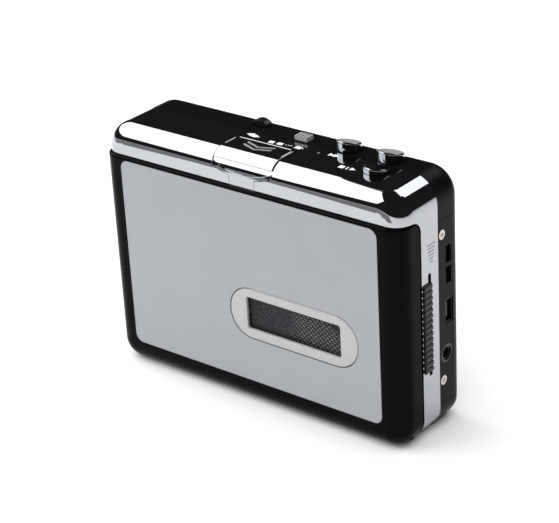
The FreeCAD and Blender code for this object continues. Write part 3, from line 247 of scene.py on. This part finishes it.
def finish(name, color, metallic=0.0, rough=0.4, spread=0.06, grain=0.0003, grain_depth=0.00001,
           tint=0.12, dust=0.0, scratches=0.0, coat=0.0, specular=0.5, stretch=None):
    """A worn surface: blotchy roughness, fine grain, hairline scratches and a little dust."""
    g = Graph(name)
    s = g.shader
    blotch = g.noise(SMUDGE, 4.0)
    fine = g.noise(grain, 2.0, g.stretch(stretch) if stretch else None)
    base = g.mix(g.remap(blotch, NOISE_LOW, NOISE_HIGH, 0.0, 1.0),
                 rgba(color, 1.0 - tint), rgba(color, 1.0 + tint))
    base = g.mix(g.remap(fine, 0.35, 0.65, 0.0, 0.5), base, rgba(color, 1.0 - tint))
    roughness = g.remap(blotch, NOISE_LOW, NOISE_HIGH, max(0.01, rough - spread), rough + spread)
    normal = g.bump(fine, grain_depth)
    if scratches > 0.0:
        for turn in HAIR_TURNS:
            hair = g.noise(HAIR_WIDTH, 1.0, g.stretch((HAIR_STRETCH, 1.0, 1.0), (turn, turn, turn)))
            line = g.remap(hair, HAIR_LOW, HAIR_HIGH, 0.0, scratches)
            roughness = g.math("ADD", roughness, line)
    if dust > 0.0:
        speck = g.remap(g.cells(SPECK_PITCH), SPECK_CORE, SPECK_EDGE, 1.0, 0.0)
        patchy = g.remap(g.noise(DUST_PATCH, 2.0), DUST_LOW, DUST_HIGH, 0.0, dust)
        amount = g.math("MULTIPLY", speck, patchy)
        base = g.mix(amount, base, DUST_COLOR)
        roughness = g.math("ADD", roughness, g.math("MULTIPLY", amount, DUST_ROUGH))
    g.link(base, s.inputs["Base Color"])
    g.link(roughness, s.inputs["Roughness"])
    g.link(normal, s.inputs["Normal"])
    s.inputs["Metallic"].default_value = metallic
    s.inputs["Specular IOR Level"].default_value = specular
    s.inputs["Coat Weight"].default_value = coat
    s.inputs["Coat Roughness"].default_value = 0.05
    return g.material


def clear_window():
    """Thin clear pane, faintly tinted, with a smeared shine."""
    g = Graph("window_clear")
    s = g.shader
    smear = g.noise(0.006, 3.0)
    g.link(g.mix(smear, (0.02, 0.02, 0.022, 1.0), (0.05, 0.05, 0.052, 1.0)), s.inputs["Base Color"])
    g.link(g.remap(smear, NOISE_LOW, NOISE_HIGH, 0.015, 0.05), s.inputs["Roughness"])
    g.link(g.bump(g.noise(0.004, 2.0), 0.000003), s.inputs["Normal"])
    s.inputs["Specular IOR Level"].default_value = 0.3
    s.inputs["Alpha"].default_value = 0.16
    return g.material


def clear_bezel():
    """Clear moulding over a pale backing: whitish, a little milky."""
    g = Graph("bezel_clear")
    s = g.shader
    smear = g.noise(0.005, 3.0)
    g.link(g.mix(smear, (0.35, 0.355, 0.352, 1.0), (0.41, 0.415, 0.412, 1.0)), s.inputs["Base Color"])
    g.link(g.remap(smear, NOISE_LOW, NOISE_HIGH, 0.06, 0.14), s.inputs["Roughness"])
    g.link(g.bump(g.noise(0.0006, 2.0), 0.000004), s.inputs["Normal"])
    s.inputs["Coat Weight"].default_value = 0.6
    s.inputs["Coat Roughness"].default_value = 0.03
    return g.material


def woven_screen(window_low, window_high):
    """Dark film with rows of pale slanting stitches. Painted light: the stitches show only where light falls
    on them, and painted shade fades them out to the left. They also fade out in the upper right, and the
    ground is a little lighter on the left.
    """
    g = Graph("screen_dark")
    s = g.shader
    part = g.tree.nodes.new("ShaderNodeSeparateXYZ")
    g.link(g.coord, part.inputs[0])
    x, z = part.outputs[0], part.outputs[2]
    along = g.math("DIVIDE", x, STITCH_PITCH)
    up = g.math("DIVIDE", z, STITCH_ROW)
    shifted = g.math("ADD", along, g.math("MULTIPLY", g.math("FLOOR", up), 0.5))
    u = g.math("SUBTRACT", g.math("FRACT", shifted), 0.5)
    v = g.math("SUBTRACT", g.math("FRACT", up), 0.5)
    slant = g.math("ADD", v, g.math("MULTIPLY", u, STITCH_SLANT))
    spot = g.math("ADD", g.math("POWER", g.math("MULTIPLY", u, STITCH_LONG), 2.0),
                  g.math("POWER", g.math("MULTIPLY", slant, STITCH_THIN), 2.0))
    stitch = g.remap(spot, STITCH_CORE, STITCH_EDGE, 1.0, 0.0)
    uneven = g.remap(g.noise(0.0016, 2.0), NOISE_LOW, NOISE_HIGH, 0.5, 1.0)
    width = window_high.x - window_low.x
    ragged = g.math("MULTIPLY", g.math("SUBTRACT", g.noise(0.004, 2.0), 0.5), RAGGED)
    # painted light: the stitches show fully only on the right, where light falls, and painted shade fades
    # them out to the left; the same share darkens the ground towards the right
    painted_light_across = g.remap(g.math("ADD", x, ragged), window_low.x + PAINTED_LIGHT_FROM * width,
                        window_low.x + PAINTED_LIGHT_TO * width, 0.0, 1.0)
    slope = g.math("ADD", z, g.math("MULTIPLY", x, CORNER_SLOPE))
    corner = window_high.z + CORNER_SLOPE * (window_low.x + CORNER_FROM * width)
    not_corner = g.remap(g.math("ADD", slope, ragged), corner, corner + CORNER_FADE, 1.0, CORNER_LEFT)
    share = g.math("MULTIPLY", g.math("MULTIPLY", stitch, uneven), g.math("MULTIPLY", painted_light_across, not_corner))
    ground = g.mix(painted_light_across, (0.03, 0.03, 0.036, 1.0), (0.012, 0.012, 0.015, 1.0))
    g.link(g.mix(share, ground, (0.34, 0.35, 0.37, 1.0)), s.inputs["Base Color"])
    g.link(g.remap(share, 0.0, 1.0, 0.5, 0.3), s.inputs["Roughness"])
    g.link(g.bump(share, 0.00003, 0.5), s.inputs["Normal"])
    s.inputs["Specular IOR Level"].default_value = 0.12
    return g.material


# ------------------------------------------------------------------ finishes by slot
MATERIALS = {
    "shell_black": finish("shell_black", (0.004, 0.004, 0.0045), rough=0.33, spread=0.05, grain=0.00022,
                          grain_depth=0.000012, dust=0.2, scratches=0.08, specular=0.06),
    "door_black": finish("door_black", (0.002, 0.002, 0.0022), rough=0.13, spread=0.04, grain=0.0009,
                         grain_depth=0.000002, dust=0.2, scratches=0.1, specular=0.035),
    "chrome": finish("chrome", (0.43, 0.44, 0.46), metallic=1.0, rough=0.035, spread=0.02, grain=0.004,
                     grain_depth=0.000002, tint=0.03, dust=0.3, scratches=0.06),
    "silver_plate": finish("silver_plate", (0.33, 0.34, 0.36), metallic=0.25, rough=0.42, spread=0.03,
                           grain=0.00012, grain_depth=0.000006, tint=0.04, scratches=0.05),
    "bezel_clear": clear_bezel(),
    "window_clear": clear_window(),
    "screen_dark": woven_screen(*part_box("window_screen")),
    "inner_plastic": finish("inner_plastic", (0.028, 0.028, 0.03), rough=0.46, grain_depth=0.00002, dust=0.2),
    "cell_wrap": finish("cell_wrap", (0.1, 0.16, 0.3), rough=0.25, grain=0.002, scratches=0.1, coat=0.4),
    "spring_steel": finish("spring_steel", (0.6, 0.6, 0.6), metallic=1.0, rough=0.28, spread=0.08),
    "screw_steel": finish("screw_steel", (0.62, 0.58, 0.55), metallic=1.0, rough=0.3, spread=0.08,
                          grain=0.0002, scratches=0.2),
    "plated_steel": finish("plated_steel", (0.6, 0.6, 0.57), metallic=1.0, rough=0.34, spread=0.08,
                           scratches=0.15, stretch=(0.1, 1.0, 1.0)),
    "brass": finish("brass", (0.72, 0.56, 0.26), metallic=1.0, rough=0.26, spread=0.08, scratches=0.1),
    "reel_white": finish("reel_white", (0.78, 0.78, 0.76), rough=0.4, dust=0.1),
    "rubber": finish("rubber", (0.02, 0.02, 0.021), rough=0.72, grain=0.00015, grain_depth=0.00003, dust=0.3),
    "motor_can": finish("motor_can", (0.64, 0.65, 0.66), metallic=1.0, rough=0.36, stretch=(1.0, 0.1, 1.0)),
    "head_metal": finish("head_metal", (0.7, 0.69, 0.66), metallic=1.0, rough=0.16, scratches=0.2),
    "board_green": finish("board_green", (0.02, 0.15, 0.06), rough=0.3, grain=0.0008, coat=0.3),
    "socket_metal": finish("socket_metal", (0.12, 0.12, 0.13), metallic=1.0, rough=0.34, scratches=0.15),
    "jack_black": finish("jack_black", (0.012, 0.012, 0.012), rough=0.24, dust=0.2),
    "chip_black": finish("chip_black", (0.02, 0.02, 0.02), rough=0.55, grain=0.0001),
    "knob_black": finish("knob_black", (0.008, 0.008, 0.009), rough=0.24, specular=0.25, dust=0.2),
    "knob_silver": finish("knob_silver", (0.42, 0.43, 0.44), metallic=0.3, rough=0.32, scratches=0.1),
}
MARK_WHITE = finish("mark_white", (0.8, 0.8, 0.8), rough=0.5, grain=0.0002, tint=0.08)
# painted glint: the pale satin of the tab's raised chevrons stands for the light they catch
PAINTED_GLINT_SATIN = finish("painted_glint_satin", (0.4, 0.4, 0.41), metallic=0.4, rough=0.4, grain=0.0002, tint=0.1)
MARK_GREY = finish("mark_grey", (0.2, 0.2, 0.21), rough=0.5, grain=0.0002, tint=0.08)


def paint_frame():
    for part in frame["record"]["subparts"]:
        mesh = frame["nodes"][part["node"]].data
        mesh.materials.clear()
        mesh.materials.append(MATERIALS[part["material_slot"]])


# ------------------------------------------------------------------ printed marks
def plate_mesh(name, outlines, place, material, body, thick=MARK_THICK):
    """Flat shapes, each a loop of (u, v), laid by place(u, v, height) and given a little thickness."""
    verts, faces = [], []
    for loop in outlines:
        first = len(verts)
        count = len(loop)
        for height in (0.0, thick):
            verts.extend(place(u, v, height) for u, v in loop)
        faces.append(tuple(range(first + count, first + 2 * count)))
        faces.append(tuple(reversed(range(first, first + count))))
        for i in range(count):
            j = (i + 1) % count
            faces.append((first + i, first + j, first + count + j, first + count + i))
    mesh = bpy.data.meshes.new(name)
    mesh.from_pydata(verts, [], faces)
    mesh.validate()
    mesh.materials.append(material)
    obj = bpy.data.objects.new(name, mesh)
    bpy.context.scene.collection.objects.link(obj)
    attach(obj, body)


def on_top(height):
    """Places shapes drawn in x and y on a level face."""
    return lambda u, v, h: (u, v, height + h)


def on_right(x):
    """Places shapes drawn in y and z on an upright face that looks along x."""
    return lambda u, v, h: (x + h, u, v)


def rect(x0, x1, y0, y1):
    return [(x0, y0), (x1, y0), (x1, y1), (x0, y1)]


def disc(x, y, r):
    turns = [2 * math.pi * k / DISC_SIDES for k in range(DISC_SIDES)]
    return [(x + r * math.cos(turn), y + r * math.sin(turn)) for turn in turns]


def triangle(x, y, size, direction):
    """An arrow head that points along +x or -x."""
    reach = size * 0.5 * direction
    return [(x - reach, y - size * 0.5), (x + reach, y), (x - reach, y + size * 0.5)]


def soften(node, width):
    """Small rounded edges on a CAD node, for the light to catch."""
    obj = frame["nodes"][node]
    weld = obj.modifiers.new("weld", "WELD")
    weld.merge_threshold = WELD_WITHIN
    bevel = obj.modifiers.new("bevel", "BEVEL")
    bevel.width = width
    bevel.segments = 3
    bevel.limit_method = "ANGLE"
    bevel.angle_limit = math.radians(SOFT_ANGLE)
    bevel.harden_normals = True


def key_spring(node):
    """A copy of a coil spring that stands for the CAD node, carried by the case."""
    source = frame["nodes"][node]
    spring = bpy.data.objects.new(node + "_coil", source.data.copy())
    bpy.context.scene.collection.objects.link(spring)
    spring.matrix_world = source.matrix_world.copy()
    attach(spring, "case")
    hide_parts(node)
    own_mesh(spring)


def top_marks():
    """Painted signs beside the controls on the chrome top."""
    top = on_top(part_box("rear_shell")[1].z)
    mode = [triangle(*MODE_ARROWS[0]), rect(*MODE_BAR), triangle(*MODE_ARROWS[1])]
    plate_mesh("mark_mode", mode, top, MARK_WHITE, "case")
    track = [rect(*bar) for bar in TRACK_BARS] + [disc(x, y, DOT_RADIUS) for x, y in TRACK_DOTS]
    plate_mesh("mark_track", track, top, MARK_WHITE, "case")
    plate_mesh("mark_dot", [disc(*LONE_DOT, LONE_DOT_RADIUS)], top, MARK_GREY, "case")
    plate_mesh("mark_forward", [triangle(*arrow) for arrow in FORWARD_ARROWS], top, MARK_WHITE, "case")
    keys = [rect(*bar) for bar in KEY_BARS] + [triangle(*KEY_ARROW)]
    plate_mesh("mark_keys", keys, top, MARK_WHITE, "case")


def side_marks():
    """A wedge that widens towards loud, above the volume slider."""
    ticks = []
    for k in range(TICKS):
        half = TICK_HALF + TICK_GROWTH * k
        base = TICK_BASE + TICK_PITCH * k
        ticks.append(rect(-half, half, base, base + TICK_TALL))
    plate_mesh("mark_volume", ticks, on_right(RIGHT_FACE), MARK_GREY, "case")


def tab_marks():
    """Two raised chevrons on the pull tab that point to its lip, coloured as a painted glint, and painted
    highlights: bright strips along its edges.
    """
    low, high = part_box("pull_tab")
    mid = (low.x + high.x) / 2
    strokes = []
    for back in (CHEVRON_BACK, CHEVRON_BACK - CHEVRON_PITCH):
        tip = back - CHEVRON_REACH
        for side in (mid - CHEVRON_HALF, mid + CHEVRON_HALF):
            loop = [(side, back), (mid, tip), (mid, tip - CHEVRON_STROKE), (side, back - CHEVRON_STROKE)]
            strokes.append(loop if side < mid else loop[:1] + loop[:0:-1])
    # the chevrons are raised shapes; their pale satin colour is a painted glint
    plate_mesh("mark_pull", strokes, on_top(high.z), PAINTED_GLINT_SATIN, "door", CHEVRON_RISE)
    # painted highlights: bright white strips along the tab's back and side edges, where light would catch
    # them
    sides = (high.y - HIGHLIGHT_LONG, high.y - HIGHLIGHT_CORNER)
    edge_highlights = [rect(low.x + HIGHLIGHT_CORNER, high.x - HIGHLIGHT_CORNER, high.y - HIGHLIGHT_BACK_FAR, high.y - HIGHLIGHT_BACK_NEAR),
           rect(low.x + HIGHLIGHT_SIDE_NEAR, low.x + HIGHLIGHT_SIDE_FAR, *sides),
           rect(high.x - HIGHLIGHT_SIDE_FAR, high.x - HIGHLIGHT_SIDE_NEAR, *sides)]
    plate_mesh("pull_tab_edge_highlights", edge_highlights, on_top(high.z), MARK_WHITE, "door")


paint_frame()
for node, width in EDGE_WIDTHS.items():
    soften(node, width)
for node, joint, travel in (("stop_button_spring", "stop_press", TALL_TRAVEL),
                            ("forward_button_spring", "forward_press", TALL_TRAVEL),
                            ("head_return_spring", "play_press", PLAY_TRAVEL)):
    key_spring(node)
top_marks()
side_marks()
tab_marks()


# ------------------------------------------------------------------ stage
def stage_plane(name, centre, width, height, material, in_picture):
    """A level card under the light. One that is not in the picture is seen only in reflections."""
    mesh = bpy.data.meshes.new(name)
    mesh.from_pydata([(x, y, 0.0) for x, y in rect(-width / 2, width / 2, -height / 2, height / 2)],
                     [], [(0, 1, 2, 3)])
    mesh.materials.append(material)
    obj = bpy.data.objects.new(name, mesh)
    bpy.context.scene.collection.objects.link(obj)
    obj.location = centre
    if not in_picture:
        obj.visible_camera = False
        obj.visible_shadow = False
        obj.visible_diffuse = False


def plain(name, grey):
    g = Graph(name)
    g.shader.inputs["Base Color"].default_value = (grey, grey, grey, 1.0)
    g.shader.inputs["Roughness"].default_value = STAGE_ROUGH
    g.shader.inputs["Specular IOR Level"].default_value = STAGE_SPECULAR
    return g.material


def softbox(name, direction, distance, width, height, power, reflected):
    """A soft rectangular light that faces the object, with or without a reflection of its own."""
    data = bpy.data.lights.new(name, "AREA")
    data.shape = "RECTANGLE"
    data.size = width
    data.size_y = height
    data.energy = power
    obj = bpy.data.objects.new(name, data)
    bpy.context.scene.collection.objects.link(obj)
    towards = Vector(direction).normalized()
    obj.location = CAMERA_TARGET + towards * distance
    obj.rotation_mode = "QUATERNION"
    obj.rotation_quaternion = towards.to_track_quat("Z", "Y")
    obj.visible_glossy = reflected


stage_plane("floor", (0, 0, cad_low.z - FLOOR_DROP), FLOOR_SIDE, FLOOR_SIDE,
            plain("floor_white", 0.9), in_picture=True)
stage_plane("card", (*CARD_PLACE, cad_low.z + CARD_RISE), *CARD_SIZE,
            plain("card_grey", 0.2), in_picture=False)
world = bpy.data.worlds.new("studio")
bpy.context.scene.world = world
world.use_nodes = True
backdrop = world.node_tree.nodes["Background"]
backdrop.inputs["Color"].default_value = (1.0, 1.0, 1.0, 1.0)
backdrop.inputs["Strength"].default_value = WORLD_STRENGTH

softbox("sky", direction=(0.0, 0.0, 1.0), distance=2.4, width=4.0, height=4.0,
        power=100.0, reflected=False)
softbox("front", direction=(0.25, -1.0, 0.35), distance=1.6, width=1.5, height=1.5,
        power=12.0, reflected=False)
softbox("left", direction=(-0.715, -0.23, 0.66), distance=1.0, width=1.5, height=0.8,
        power=9.5, reflected=True)
softbox("corner", direction=(0.12, 0.69, 0.71), distance=1.0, width=0.5, height=0.35,
        power=1.2, reflected=True)

bpy.context.scene.view_settings.view_transform = "Standard"


# ------------------------------------------------------------------ camera
def place_camera():
    a = math.radians(CAMERA_AZIMUTH)
    e = math.radians(CAMERA_ELEVATION)
    r = math.radians(CAMERA_ROLL)
    back = Vector((math.sin(a) * math.cos(e), -math.cos(a) * math.cos(e), math.sin(e)))
    right = (-back).cross(Vector((0, 0, 1))).normalized()
    up = right.cross(-back)
    x_axis = math.cos(r) * right + math.sin(r) * up
    y_axis = math.cos(r) * up - math.sin(r) * right
    spot = CAMERA_TARGET + back * CAMERA_DISTANCE + x_axis * CAMERA_SLIDE[0] + y_axis * CAMERA_SLIDE[1]
    data = bpy.data.cameras.new("camera")
    data.sensor_width = SENSOR
    data.lens = CAMERA_LENS
    data.clip_start = 0.01
    data.clip_end = 30.0
    camera = bpy.data.objects.new("camera", data)
    bpy.context.scene.collection.objects.link(camera)
    turn = Matrix((x_axis, y_axis, back)).transposed().to_4x4()
    camera.matrix_world = Matrix.Translation(spot) @ turn
    bpy.context.scene.camera = camera


place_camera()
